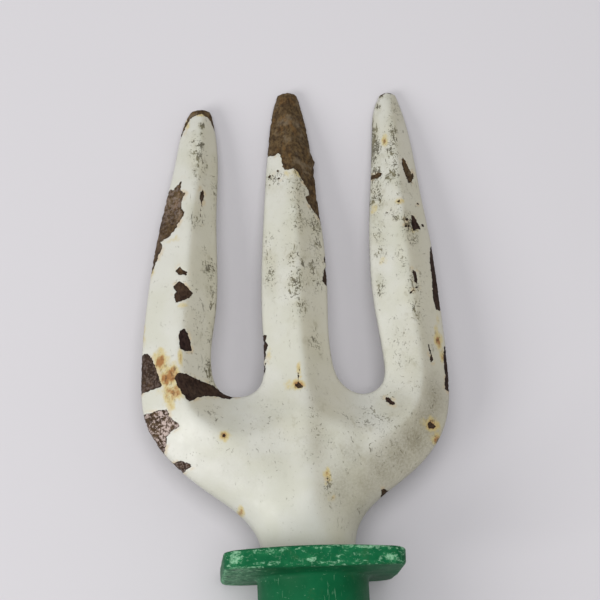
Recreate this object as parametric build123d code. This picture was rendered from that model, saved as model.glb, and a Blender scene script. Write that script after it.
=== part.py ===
from build123d import *
import math
import os
import numpy as np

# Three-tine hand fork with a pressed steel head and a moulded grip, in millimetres.
# It lies on its face, back up: +Y runs from the grip to the tine tips, +Z is up, and
# z = 0 is the ground under the flange and the tips. Everything is drawn from the start of
# the neck, y = 0, just inside the front of the grip's guard flange, with the grip's axis at
# x = 0, z = AXIS_Z.
# At the end all parts move together, so that the origin is on the ground in the middle of
# the fork's footprint.

FOOTPRINT_MIDDLE = (-1.4, 6.0, 0.0)

# ---- driving dimensions -----------------------------------------------------------------

SHEET = 2.1              # thickness of the pressed sheet

# grip
GRIP_RADIUS = 15.3       # at the flange
PALM_RADIUS = 16.6       # where the hand closes round it
WAIST_RADIUS = 13.8
TAIL_RADIUS = 14.6       # at the open rear end
AXIS_Z = 24.0
FLANGE_HALF_WIDTH = 24.4
FLANGE_OFFSET = -0.7     # middle of the flange, off the grip's axis
FLANGE_TURN = 4.0        # degrees that the flange is turned on the grip's axis
FLANGE_TOP_CORNER = 4.0
FLANGE_LOW_CORNER = 8.0
FLANGE_THICK = 6.4
FLANGE_FRONT = 0.4       # how far its front stands over the start of the neck
FLANGE_BOW = 1.1         # how far its front curves back towards its sides
FLANGE_EDGE = 1.0        # rounding of the flange's rims
GRIP_LENGTH = 112.0      # from the start of the neck to the open rear end
BORE_RADIUS = 9.0        # cored-out rear half
BORE_DEPTH = 56.0
# The flange stands on its lower left corner, which is as far down as its arc's middle.
FLANGE_HALF_HEIGHT = FLANGE_LOW_CORNER + (
    AXIS_Z - FLANGE_LOW_CORNER
    - (FLANGE_HALF_WIDTH - FLANGE_LOW_CORNER) * math.sin(math.radians(FLANGE_TURN))
) / math.cos(math.radians(FLANGE_TURN))

# tang, inside the grip
TANG_RADIUS = 12.2       # outer radius of the half-round tang
TANG_LENGTH = 46.0
TANG_DROP = 4.5          # how far the tang's edges lie under its centre

# cross pin
PIN_RADIUS = 2.0
PIN_Y = -30.0
PIN_SUNK = 0.5           # how far its ends lie under the grip's radius
PIN_CHAMFER = 0.3

# end plug with the hanging hole
PLUG_LENGTH = 18.0       # behind the grip's end
SPIGOT_LENGTH = 14.0
EYE_THICK = 17.0         # the plug is flat above and below, round the hanging hole
EYE_LENGTH = 16.5        # how far those flats run forward from the plug's end
EYE_EDGE = 1.2           # rounding of the hole's rims
HANG_RADIUS = 4.0
HANG_Y = -GRIP_LENGTH - 8.5

# head: heights of the pressed surface
EDGE_NECK_Z = 19.5       # the head's edge at the neck
EDGE_FALL = 16.9         # how far that edge has come down at the tips
EDGE_CURVE = 1.8         # over 1, the edge falls ever faster
HEAD_LENGTH = 142.0      # flange to the middle tip
FLANK_RISE = 6.6         # from the edge up to the ridge of a tine
RIDGE_INSET = 9.2        # from the edge in to the ridge, on the tines
SHOULDER_INSET = 3.4     # how much further in, and higher, the ridge runs on the shoulders
SHOULDER_TO_TINE = (38.0, 56.0)
PALM_DIP = 0.9           # how far the palm lies under the ridges
RIDGE_ROUND = 0.18       # roundness of the ridge, as a share of the inset
NECK_HALF_WIDTH = 13.0
NECK_RADIUS = 14.0       # arch of the neck
NECK_TO_PALM = (2.0, 36.0)      # y where the arch starts to give way to the palm, and ends
RIB_RISE = 1.3           # the middle tine's ridge, where it runs on over the palm
RIB_SPREAD = 3.4
RIB_X = -0.8
RIB_START = (12.0, 32.0)
RIB_END = (50.0, 66.0)
STEEPEST = 2.4           # limit of the sheet's upright thickness on its flanks, in sheets
BLANK_Z = (-20.0, 60.0)  # heights between which the outline is cut
SECTIONS_FROM = -48.0    # left and right end of the sections that the surface is drawn through
SECTIONS_TO = 45.0
SECTION_BOTTOM = -40.0


# ---- outline of the head, seen from above -----------------------------------------------
# Each edge is a curve through the few places where its direction changes.

left_outer = Spline(
    (-13.0, 0.0), (-13.4, 4.5), (-17.2, 11.0), (-27.4, 19.1), (-38.0, 28.3), (-44.2, 38.2),
    (-45.5, 51.0), (-43.8, 70.0), (-38.3, 100.0), (-33.2, 120.0), (-30.8, 130.0), (-28.9, 134.6),
)
left_gullet = Spline(
    (-22.5, 134.8), (-21.4, 125.0), (-22.1, 100.0), (-24.1, 70.0), (-26.0, 55.0), (-23.6, 47.8),
    (-17.8, 46.2), (-12.2, 48.9), (-10.4, 56.0), (-10.3, 70.0), (-8.4, 100.0), (-5.1, 128.0),
    (-3.4, 137.0), (-1.4, 141.2),
)
right_gullet = Spline(
    (4.4, 141.2), (5.9, 135.0), (7.6, 110.0), (9.1, 82.0), (9.1, 57.0), (11.5, 49.9),
    (18.0, 46.7), (23.3, 49.8), (24.3, 57.0), (22.5, 75.0), (23.0, 100.0), (25.9, 128.0),
    (27.8, 138.5), (29.3, 141.6),
)
right_outer = Spline(
    (33.9, 141.5), (35.6, 135.0), (38.7, 110.0), (40.9, 90.0), (42.0, 70.0), (42.7, 53.0),
    (40.3, 36.5), (32.4, 25.6), (20.6, 16.3), (14.6, 9.4), (13.1, 4.0), (13.0, 0.0),
)
left_tip = ThreePointArc(left_outer @ 1, (-25.7, 135.5), left_gullet @ 0)
middle_tip = ThreePointArc(left_gullet @ 1, (1.5, 141.6), right_gullet @ 0)
right_tip = ThreePointArc(right_gullet @ 1, (31.5, 142.0), right_outer @ 0)
neck_end = Line(right_outer @ 1, left_outer @ 0)

OUTLINE = Face(Wire([
    left_outer, left_tip, left_gullet, middle_tip, right_gullet, right_tip, right_outer, neck_end,
]))


# ---- pressed surface of the head --------------------------------------------------------

def smooth_step(value, start, end):
    """0 before start, 1 after end, and smooth between them."""
    part = np.clip((value - start) / (end - start), 0.0, 1.0)
    return part * part * (3.0 - 2.0 * part)


def inside_distance(edge, x, y, samples=260):
    """Distance of each point from an edge of the head, positive on the metal's side.

    Every edge runs clockwise round the outline, so the metal is on its right. Past its two
    ends an edge carries on straight.
    """
    points = np.array([tuple(edge @ (i / samples))[:2] for i in range(samples + 1)])
    start = points[:-1]
    along = points[1:] - start
    offset = np.stack([x, y], axis=-1)[..., None, :] - start
    share = (offset * along).sum(-1) / (along * along).sum(-1)
    first = np.zeros(samples)
    last = np.ones(samples)
    first[0] = -np.inf
    last[-1] = np.inf
    gap = offset - np.clip(share, first, last)[..., None] * along
    length = np.hypot(gap[..., 0], gap[..., 1])
    nearest = length.argmin(-1)[..., None]
    side = along[:, 1] * offset[..., 0] - along[:, 0] * offset[..., 1]
    sign = np.sign(np.take_along_axis(side, nearest, -1))[..., 0]
    return sign * np.take_along_axis(length, nearest, -1)[..., 0]


def edge_inset(x, y):
    """Distance in from the nearest edge, with the creases between two edges rounded off."""
    sharpness = 0.9
    edges = (left_outer, left_gullet, right_gullet, right_outer)
    pulls = sum(np.exp(-sharpness * inside_distance(edge, x, y)) for edge in edges)
    inset = -np.log(pulls) / sharpness
    levelling = 3.0
    outside = levelling * (np.exp(np.minimum(inset, 0.0) / levelling) - 1.0)
    return np.where(inset < 0.0, outside, inset)


def edge_height(y):
    """Height of the head's edge: it falls ever faster from the neck to the tips."""
    return EDGE_NECK_Z - EDGE_FALL * (np.clip(y, 0.0, None) / HEAD_LENGTH) ** EDGE_CURVE


def flank_rise(inset, y):
    """Rise over the edge on the tines and the palm: a flank, a soft ridge, a shallow dip."""
    wider = 1.0 + SHOULDER_INSET / RIDGE_INSET * (1.0 - smooth_step(y, *SHOULDER_TO_TINE))
    step = inset / (RIDGE_INSET * wider)
    flank = 0.5 * (step + 1.0 - np.sqrt((step - 1.0) ** 2 + RIDGE_ROUND ** 2))
    return FLANK_RISE * wider * flank - PALM_DIP * smooth_step(step, 1.0, 2.0)


def arch_rise(inset):
    """Rise over the edge on the neck: a round arch, carried on straight outside the edge."""
    spring_line = math.sqrt(NECK_RADIUS ** 2 - NECK_HALF_WIDTH ** 2)
    to_crown = np.clip(NECK_HALF_WIDTH - inset, 0.0, NECK_HALF_WIDTH)
    arch = np.sqrt(NECK_RADIUS ** 2 - to_crown ** 2) - spring_line
    return arch + np.minimum(inset, 0.0) * NECK_HALF_WIDTH / spring_line


def top_height(x, y):
    """Height of the head's upper surface."""
    inset = edge_inset(x, y)
    palm = smooth_step(y, *NECK_TO_PALM)
    rise = palm * flank_rise(inset, y) + (1.0 - palm) * arch_rise(inset)
    rib = RIB_RISE * np.exp(-((x - RIB_X) / RIB_SPREAD) ** 2)
    rib = rib * smooth_step(y, *RIB_START) * (1.0 - smooth_step(y, *RIB_END))
    return edge_height(y) + rise + rib


def height_section(y, heights, xs):
    """Closed wire across the head: a smooth curve of heights over a flat bottom."""
    points = [(float(x), y, float(z)) for x, z in zip(xs, heights)]
    left_foot = (points[0][0], y, SECTION_BOTTOM)
    right_foot = (points[-1][0], y, SECTION_BOTTOM)
    return Wire([
        Spline(*points),
        Line(points[-1], right_foot),
        Line(right_foot, left_foot),
        Line(left_foot, points[0]),
    ])


def solid_under(drop):
    """Everything under the pressed surface, or under its inner side if drop is the sheet."""
    points_across = 56
    xs = np.linspace(SECTIONS_FROM, SECTIONS_TO, points_across)
    neck = [-1.0, 3.0, 7.0, 11.0, 15.0]
    palm = [20.0, 25.0, 30.0, 35.0, 40.0, 45.0, 50.0, 56.0]
    tines = [63.0, 72.0, 84.0, 96.0, 108.0, 120.0, 130.0, 138.0, 145.0]
    probe = 0.5
    wires = []
    for y in neck + palm + tines:
        row = np.full_like(xs, y)
        slope_x = (top_height(xs + probe, row) - top_height(xs - probe, row)) / (2 * probe)
        slope_y = (top_height(xs, row + probe) - top_height(xs, row - probe)) / (2 * probe)
        steepness = np.sqrt(1.0 + slope_x ** 2 + slope_y ** 2)
        heights = top_height(xs, row) - drop * np.minimum(steepness, STEEPEST)
        wires.append(height_section(y, heights, xs))
    return Solid.make_loft(wires)


def fork_head():
    """Steel head: the outline cut from a sheet that follows the pressed surface, and a tang."""
    low, high = BLANK_Z
    blank = extrude(OUTLINE.moved(Location((0, 0, low))), amount=high - low, dir=(0, 0, 1))
    pressing = (blank & solid_under(0.0)) - solid_under(SHEET)
    return pressing + tang()


def tang_section(radius):
    """Half-round section with straight sides, open at the bottom, across the grip."""
    height = radius + TANG_DROP
    arch = Circle(radius) + Pos(0, -TANG_DROP) * Rectangle(2 * radius, 2 * TANG_DROP)
    window = Pos(0, height / 2 - TANG_DROP) * Rectangle(2 * radius, height)
    return arch & window


def tang():
    """The neck runs on into the grip as a half-round channel, with a hole for the pin."""
    channel = tang_section(TANG_RADIUS) - tang_section(TANG_RADIUS - SHEET)
    body = extrude(Plane.XZ * Pos(0, AXIS_Z) * channel, amount=TANG_LENGTH)
    return body - cross_pin()


def cross_pin():
    """Steel pin down through the grip and the tang, a little under the grip's surface."""
    pin = Pos(0, PIN_Y, AXIS_Z) * Cylinder(PIN_RADIUS, 2 * (GRIP_RADIUS - PIN_SUNK))
    return chamfer(pin.edges().filter_by(GeomType.CIRCLE), PIN_CHAMFER)


def flange():
    """Guard flange: a plate with rounded corners, its front bowed a little."""
    rim = Rectangle(2 * FLANGE_HALF_WIDTH, 2 * FLANGE_HALF_HEIGHT)
    rim = fillet(rim.vertices().group_by(Axis.Y)[-1], FLANGE_TOP_CORNER)
    rim = fillet(rim.vertices().group_by(Axis.Y)[0], FLANGE_LOW_CORNER)
    rim = Pos(FLANGE_OFFSET, AXIS_Z) * Rot(0, 0, FLANGE_TURN) * rim
    plate = extrude(Plane.XZ * rim, amount=FLANGE_THICK)
    bow_radius = (FLANGE_HALF_WIDTH ** 2 + FLANGE_BOW ** 2) / (2 * FLANGE_BOW)
    drum = Pos(FLANGE_OFFSET, -bow_radius, AXIS_Z) * Cylinder(bow_radius, 4 * AXIS_Z)
    plate = plate & drum
    plate = fillet(plate.faces().sort_by(Axis.Y)[0].edges(), FLANGE_EDGE)
    return fillet(plate.faces().sort_by(Axis.Y)[-1].edges(), FLANGE_EDGE)


def handle_grip(head):
    """Moulded grip with its guard flange, cored out from the rear, and moulded round the tang."""
    start = -FLANGE_THICK / 2
    side = Spline(
        (GRIP_RADIUS, start), (GRIP_RADIUS, -16.0), (PALM_RADIUS, -46.0), (WAIST_RADIUS, -88.0),
        (TAIL_RADIUS, -GRIP_LENGTH),
    )
    half = Face(Wire([
        side,
        Line((TAIL_RADIUS, -GRIP_LENGTH), (0.0, -GRIP_LENGTH)),
        Line((0.0, -GRIP_LENGTH), (0.0, start)),
        Line((0.0, start), (GRIP_RADIUS, start)),
    ]))
    body = Pos(0, 0, AXIS_Z) * revolve(half, Axis.Y)
    bore_middle = -GRIP_LENGTH + BORE_DEPTH / 2
    bore = Pos(0, bore_middle, AXIS_Z) * Rot(90, 0, 0) * Cylinder(BORE_RADIUS, BORE_DEPTH)
    pin_hole = Pos(0, PIN_Y, AXIS_Z) * Cylinder(PIN_RADIUS, 4 * GRIP_RADIUS)
    return body + Pos(0, FLANGE_FRONT, 0) * flange() - bore - head - pin_hole


def end_plug():
    """Moulded plug in the grip's end: a spigot, and a rounded eye with the hanging hole."""
    end = -GRIP_LENGTH - PLUG_LENGTH
    spigot_end = -GRIP_LENGTH + SPIGOT_LENGTH
    shoulder = (0.86 * TAIL_RADIUS, -GRIP_LENGTH - 0.66 * PLUG_LENGTH)
    dome = Spline(
        (TAIL_RADIUS, -GRIP_LENGTH),
        shoulder,
        (0.0, end),
        tangents=((0, -1), (-1, 0)),
    )
    half = Face(Wire([
        dome,
        Line((0.0, end), (0.0, spigot_end)),
        Line((0.0, spigot_end), (BORE_RADIUS, spigot_end)),
        Line((BORE_RADIUS, spigot_end), (BORE_RADIUS, -GRIP_LENGTH)),
        Line((BORE_RADIUS, -GRIP_LENGTH), (TAIL_RADIUS, -GRIP_LENGTH)),
    ]))
    plug = Pos(0, 0, AXIS_Z) * revolve(half, Axis.Y)
    cutter = Box(4 * TAIL_RADIUS, 2 * EYE_LENGTH, 2 * EYE_LENGTH)
    for side in (-1, 1):
        plug = plug - Pos(0, end, AXIS_Z + side * (EYE_THICK / 2 + EYE_LENGTH)) * cutter
    plug = plug - Pos(0, HANG_Y, AXIS_Z) * Cylinder(HANG_RADIUS, 4 * TAIL_RADIUS)
    rims = plug.edges().filter_by(GeomType.CIRCLE).filter_by(lambda edge: edge.radius == HANG_RADIUS)
    return fillet(rims, EYE_EDGE)


def main():
    """Move the parts over their common origin and write one file for each."""
    head = fork_head()
    parts = {
        "fork_head": head,
        "handle_grip": handle_grip(head),
        "cross_pin": cross_pin(),
        "end_plug": end_plug(),
    }
    to_origin = Location(tuple(-place for place in FOOTPRINT_MIDDLE))
    os.makedirs("parts", exist_ok=True)
    for name, part in parts.items():
        export_step(part.moved(to_origin), f"parts/{name}.step")


main()
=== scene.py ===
import functools
import math

import bpy
import numpy as np
from mathutils import Matrix, Vector


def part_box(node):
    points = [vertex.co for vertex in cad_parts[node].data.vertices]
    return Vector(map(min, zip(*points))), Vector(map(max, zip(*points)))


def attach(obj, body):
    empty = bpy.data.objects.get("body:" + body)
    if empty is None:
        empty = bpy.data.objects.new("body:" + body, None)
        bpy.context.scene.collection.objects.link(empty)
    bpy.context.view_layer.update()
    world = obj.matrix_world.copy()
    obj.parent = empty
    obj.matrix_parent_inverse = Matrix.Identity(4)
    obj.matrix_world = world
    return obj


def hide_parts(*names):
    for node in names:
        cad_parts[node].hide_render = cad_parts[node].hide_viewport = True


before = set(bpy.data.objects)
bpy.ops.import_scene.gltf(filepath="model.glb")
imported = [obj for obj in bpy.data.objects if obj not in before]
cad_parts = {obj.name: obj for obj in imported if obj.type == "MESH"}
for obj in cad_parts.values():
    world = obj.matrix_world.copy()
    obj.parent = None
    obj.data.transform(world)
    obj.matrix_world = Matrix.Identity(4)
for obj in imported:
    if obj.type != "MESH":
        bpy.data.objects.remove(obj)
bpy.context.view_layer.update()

# All drawing is in millimetres from the start of the head's neck, on the grip's axis and on
# the ground, as in the CAD model: +Y towards the tips, +Z up.
MM = 0.001
FLANGE_FRONT = 0.4  # how far the guard flange's front stands over the start of the neck
grip_low, grip_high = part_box("handle_grip")
pin_low, pin_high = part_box("cross_pin")
ORIGIN = np.array([(pin_low.x + pin_high.x) / 2, grip_high.y - FLANGE_FRONT * MM, grip_low.z])
AXIS_Z = ((pin_low.z + pin_high.z) / 2 - grip_low.z) / MM
PIN_Y = ((pin_low.y + pin_high.y) / 2 - ORIGIN[1]) / MM
PIN_RADIUS = (pin_high.x - pin_low.x) / MM / 2
GRIP_END = (grip_low.y - ORIGIN[1]) / MM

SHEET = 2.1  # thickness of the head's steel
EDGE_ROUND = 0.7  # rounding of the sheet's edges under the paint
FINE_STEP = 0.47  # mesh of the head's upper side
COARSE_STEP = 1.3  # mesh of its under side


# ---- outline of the head

LEFT_OUTER = (
    (-13, 0), (-13.4, 4.5), (-17.2, 11), (-27.4, 19.1), (-38, 28.3), (-44.2, 38.2),
    (-45.5, 51), (-43.8, 70), (-38.3, 100), (-33.2, 120), (-30.8, 130), (-28.9, 134.6),
)
LEFT_GULLET = (
    (-22.2, 134.8), (-21.2, 126), (-22.3, 100), (-23.7, 71), (-25.6, 55.6), (-23.2, 47.9),
    (-17.8, 46.2), (-12.2, 48.9), (-10.4, 56), (-10.3, 70), (-8.4, 100), (-5.1, 128),
    (-3.4, 136.6), (-1.9, 141.4),
)
RIGHT_GULLET = (
    (3.8, 141.4), (5.2, 135), (7.6, 110), (9.1, 82), (9.1, 57), (11.5, 49.9),
    (18, 46.7), (23.3, 49.8), (24.3, 57), (22.5, 75), (23, 100), (25.9, 128),
    (27.8, 138.5), (29.3, 141.6),
)
RIGHT_OUTER = (
    (33.9, 141.5), (35.6, 135), (38.7, 110), (40.9, 90), (42, 70), (42.7, 53),
    (40.3, 36.5), (32.4, 25.6), (20.6, 16.3), (14.6, 9.4), (13.1, 4), (13, 0),
)
# middle of each blunt tip: x, y, and how fast the tip falls away to its sides
TIPS = ((-25.5, 135.5, 0.035), (1.1, 141.6, 0.025), (31.5, 142.0, 0.04))
TIP_WINDOW = 6.0  # a tip ends the metal this far to each side of its middle
NO_END = 50.0  # stands for the distance from an end that is out of reach
TANG_END = -46.0
TANG_HALF_WIDTH = 10.4
TANG_START = (11.0, -7.0)  # half width and place where the tang enters the grip's body
FLANK_BLEND = 0.9  # how sharply the flanks of one tine meet: smaller is softer
BORDER_BLEND = 9.0
OUTSIDE_REACH = 3.0  # outside the outline the flanks level off over this distance


def smooth_curve(points, count=240):
    """Natural cubic curve through the points, as count + 1 points along it."""
    knots = np.array(points, float)
    reach = np.concatenate([[0.0], np.cumsum(np.hypot(*np.diff(knots, axis=0).T))])
    gap = np.diff(reach)
    matrix = np.eye(len(knots))
    right = np.zeros((len(knots), 2))
    for i in range(1, len(knots) - 1):
        matrix[i, i - 1:i + 2] = gap[i - 1], 2 * (gap[i - 1] + gap[i]), gap[i]
        right[i] = 6 * ((knots[i + 1] - knots[i]) / gap[i] - (knots[i] - knots[i - 1]) / gap[i - 1])
    bend = np.linalg.solve(matrix, right)
    along = np.linspace(0.0, reach[-1], count + 1)
    k = np.clip(np.searchsorted(reach, along, side="right") - 1, 0, len(knots) - 2)
    span = gap[k][:, None]
    done = (along - reach[k])[:, None]
    left = span - done
    curve = (bend[k] * left ** 3 + bend[k + 1] * done ** 3) / (6 * span)
    curve += (knots[k] / span - bend[k] * span / 6) * left
    return curve + (knots[k + 1] / span - bend[k + 1] * span / 6) * done


def head_edges():
    """The four long edges, the outer ones carried on back along the tang."""
    half, y = TANG_START
    left = np.vstack([[-TANG_HALF_WIDTH, TANG_END], [-half, y], smooth_curve(LEFT_OUTER)])
    right = np.vstack([smooth_curve(RIGHT_OUTER), [half, y], [TANG_HALF_WIDTH, TANG_END]])
    return left, smooth_curve(LEFT_GULLET), smooth_curve(RIGHT_GULLET), right


EDGES = head_edges()


def smooth_step(value, start, end):
    """0 before start, 1 after end, and smooth between them."""
    part = np.clip((value - start) / (end - start), 0.0, 1.0)
    return part * part * (3.0 - 2.0 * part)


def inside_distance(edge, x, y):
    """Distance from an edge, positive on its right, where the metal is."""
    start = edge[:-1]
    along = np.diff(edge, axis=0)
    squared = (along * along).sum(-1)
    first = np.zeros(len(start))
    last = np.ones(len(start))
    first[0] = -np.inf
    last[-1] = np.inf
    flat_x, flat_y = np.ravel(x), np.ravel(y)
    result = np.empty(len(flat_x))
    chunk = 4000
    for low in range(0, len(flat_x), chunk):
        offset_x = flat_x[low:low + chunk, None] - start[:, 0]
        offset_y = flat_y[low:low + chunk, None] - start[:, 1]
        share = (offset_x * along[:, 0] + offset_y * along[:, 1]) / squared
        share = np.clip(share, first, last)
        gap = np.hypot(offset_x - share * along[:, 0], offset_y - share * along[:, 1])
        nearest = gap.argmin(-1)
        row = np.arange(len(nearest))
        side = along[nearest, 1] * offset_x[row, nearest]
        side -= along[nearest, 0] * offset_y[row, nearest]
        result[low:low + chunk] = np.sign(side) * gap[row, nearest]
    return result.reshape(np.shape(x))


def soft_least(values, sharpness):
    """The smallest of the values, rounded off where two are alike."""
    return -np.log(sum(np.exp(-sharpness * value) for value in values)) / sharpness


def head_fields(x, y):
    """Distance in from the whole outline, and the distance that the flanks rise with."""
    distances = [inside_distance(edge, x, y) for edge in EDGES]
    flank = soft_least(distances, FLANK_BLEND)
    outside = OUTSIDE_REACH * (np.exp(np.minimum(flank, 0.0) / OUTSIDE_REACH) - 1.0)
    flank = np.where(flank < 0.0, outside, flank)
    ends = [y - TANG_END]
    for tip_x, tip_y, fall in TIPS:
        tip = tip_y - fall * (x - tip_x) ** 2 - y
        ends.append(np.where(np.abs(x - tip_x) < TIP_WINDOW, tip, NO_END))
    within_reach = [np.clip(distance, -8.0, 60.0) for distance in distances + ends]
    return soft_least(within_reach, BORDER_BLEND), flank


# ---- pressed surface of the head

EDGE_NECK_Z = 19.5  # height of the outline at the neck, and how far it falls to the tips
EDGE_FALL = 16.9
HEAD_LENGTH = 142.0
FLANK_RISE = 6.6  # height of a tine's ridge over its edges
RIDGE_INSET = 9.2  # how far in from the edge the flank reaches the ridge
SHOULDER_INSET = 3.4  # how much further in that is at the shoulders
SHOULDER_TO_TINE = (38.0, 56.0)
PALM_DIP = 0.9
RIDGE_ROUND = 0.18
NECK_HALF_WIDTH = 13.0
NECK_RADIUS = 14.0
NECK_TO_PALM = (2.0, 36.0)
RIB_X = -0.8  # the middle rib: place, height, width, and where it starts and ends
RIB_RISE = 1.5
RIB_SPREAD = 4.2
RIB_START = (4.0, 18.0)
RIB_FINISH = (34.0, 60.0)
MOST_STEEP = 2.4  # the under side is never further below than this many thicknesses


def surface_height(x, y):
    """Height of the head's upper surface as it was pressed, before any wear."""
    flank = head_fields(x, y)[1]
    wider = 1.0 + SHOULDER_INSET / RIDGE_INSET * (1.0 - smooth_step(y, *SHOULDER_TO_TINE))
    step = flank / (RIDGE_INSET * wider)
    tine = 0.5 * (step + 1.0 - np.sqrt((step - 1.0) ** 2 + RIDGE_ROUND ** 2))
    tine = FLANK_RISE * wider * tine - PALM_DIP * smooth_step(step, 1.0, 2.0)
    spring_line = math.sqrt(NECK_RADIUS ** 2 - NECK_HALF_WIDTH ** 2)
    to_crown = np.clip(NECK_HALF_WIDTH - flank, 0.0, NECK_HALF_WIDTH)
    arch = np.sqrt(NECK_RADIUS ** 2 - to_crown ** 2) - spring_line
    arch = arch + np.minimum(flank, 0.0) * NECK_HALF_WIDTH / spring_line
    palm = smooth_step(y, *NECK_TO_PALM)
    rib = RIB_RISE * np.exp(-((x - RIB_X) / RIB_SPREAD) ** 2)
    rib = rib * smooth_step(y, *RIB_START) * (1.0 - smooth_step(y, *RIB_FINISH))
    edge = EDGE_NECK_Z - EDGE_FALL * (np.clip(y, 0.0, None) / HEAD_LENGTH) ** 1.8
    return edge + palm * tine + (1.0 - palm) * arch + rib


def under_height(x, y):
    """Height of the head's under side: the sheet's thickness below the upper surface."""
    probe = 0.4
    slope_x = (surface_height(x + probe, y) - surface_height(x - probe, y)) / (2 * probe)
    slope_y = (surface_height(x, y + probe) - surface_height(x, y - probe)) / (2 * probe)
    steepness = np.sqrt(1.0 + slope_x ** 2 + slope_y ** 2)
    return surface_height(x, y) - SHEET * np.minimum(steepness, MOST_STEEP)


# ---- mesh of the head

TANG_STEP = 2.5
TANG_ROWS = (TANG_END, -3.0)
HEAD_ROWS = (-0.4, 143.5)
HEAD_COLUMNS = (-47.0, 44.5)


def grid_lines(step, low, high):
    return np.arange(low, high + step, step)


def clipped_grid(step, inset):
    """Quads over the head's outline, drawn in by inset, with the border put on that line.

    Returns the points, the quads, and the border as one ordered loop of point numbers.
    """
    columns = grid_lines(step, *HEAD_COLUMNS)
    rows = np.concatenate([grid_lines(TANG_STEP, *TANG_ROWS), grid_lines(step, *HEAD_ROWS)])
    x, y = np.meshgrid(columns, rows, indexing="ij")
    border, _ = head_fields(x, y)
    inside = border > inset - 0.42 * step
    cell = inside[:-1, :-1] & inside[1:, :-1] & inside[1:, 1:] & inside[:-1, 1:]
    number = np.arange(x.size).reshape(x.shape)
    quads = np.stack([
        number[:-1, :-1][cell], number[1:, :-1][cell], number[1:, 1:][cell], number[:-1, 1:][cell],
    ], axis=1)
    used, quads = np.unique(quads, return_inverse=True)
    quads = quads.reshape(-1, 4)
    points = np.stack([x.ravel()[used], y.ravel()[used]], axis=1)
    loop = border_loop(quads)
    return settle(points, loop, neighbour_pairs(quads), inset), quads, loop


def quad_sides(quads):
    return np.concatenate([quads[:, [i, (i + 1) % 4]] for i in range(4)])


def border_loop(quads):
    """The longest border of the quads, as point numbers in order."""
    forward = {tuple(side) for side in quad_sides(quads).tolist()}
    following = {a: b for a, b in forward if (b, a) not in forward}
    loops = []
    while following:
        start = next(iter(following))
        loop = [start]
        while following.get(loop[-1], start) != start:
            loop.append(following.pop(loop[-1]))
        following.pop(loop[-1], None)
        loops.append(loop)
    return np.array(max(loops, key=len))


def neighbour_pairs(quads):
    """Every two points that share a side of a quad, listed both ways round."""
    sides = np.unique(np.sort(quad_sides(quads), axis=1), axis=0)
    return np.concatenate([sides, sides[:, ::-1]])


def border_gradient(points):
    """Unit vectors that point straight in from the outline."""
    probe = 0.05
    x, y = points.T
    slope_x = head_fields(x + probe, y)[0] - head_fields(x - probe, y)[0]
    slope_y = head_fields(x, y + probe)[0] - head_fields(x, y - probe)[0]
    gradient = np.stack([slope_x, slope_y], axis=1)
    return gradient / np.maximum(np.linalg.norm(gradient, axis=1, keepdims=True), 1e-9)


def settle(points, loop, pairs, inset):
    """Put the border on its line and even out the points beside it."""
    points = points.copy()
    near = np.zeros(len(points), bool)
    near[loop] = True
    for _ in range(3):
        near[pairs[near[pairs[:, 1]], 0]] = True
    near[loop] = False
    near_pairs = pairs[near[pairs[:, 0]]]
    count = np.bincount(near_pairs[:, 0], minlength=len(points))[near, None]
    for round_number in range(5):
        for _ in range(2):
            place = points[loop]
            gap = head_fields(*place.T)[0] - inset
            points[loop] = place - border_gradient(place) * gap[:, None]
        if round_number < 4:
            place = points[loop]
            points[loop] = (np.roll(place, 1, 0) + 2 * place + np.roll(place, -1, 0)) / 4
        for _ in range(2):
            total = np.zeros_like(points)
            np.add.at(total, near_pairs[:, 0], points[near_pairs[:, 1]])
            points[near] = total[near] / count
    return points


def zipper(outer, outer_place, inner, inner_place):
    """Triangles between two loops of points that run the same way round."""
    start = np.linalg.norm(inner_place - outer_place[0], axis=1).argmin()
    faces = []
    i, j = 0, 0
    while i < len(outer) or j < len(inner):
        here, ahead = i % len(outer), (i + 1) % len(outer)
        beside, beyond = (start + j) % len(inner), (start + j + 1) % len(inner)
        outer_gap = np.linalg.norm(outer_place[ahead] - inner_place[beside])
        inner_gap = np.linalg.norm(inner_place[beyond] - outer_place[here])
        if j >= len(inner) or (i < len(outer) and outer_gap <= inner_gap):
            faces.append((outer[here], inner[beside], outer[ahead]))
            i += 1
        else:
            faces.append((outer[here], inner[beside], inner[beyond]))
            j += 1
    return faces


# ---- paint chips and rust, in the drawing's plan view
# Each chip is an outline inside which the paint has come off down to the rusty steel.

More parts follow.
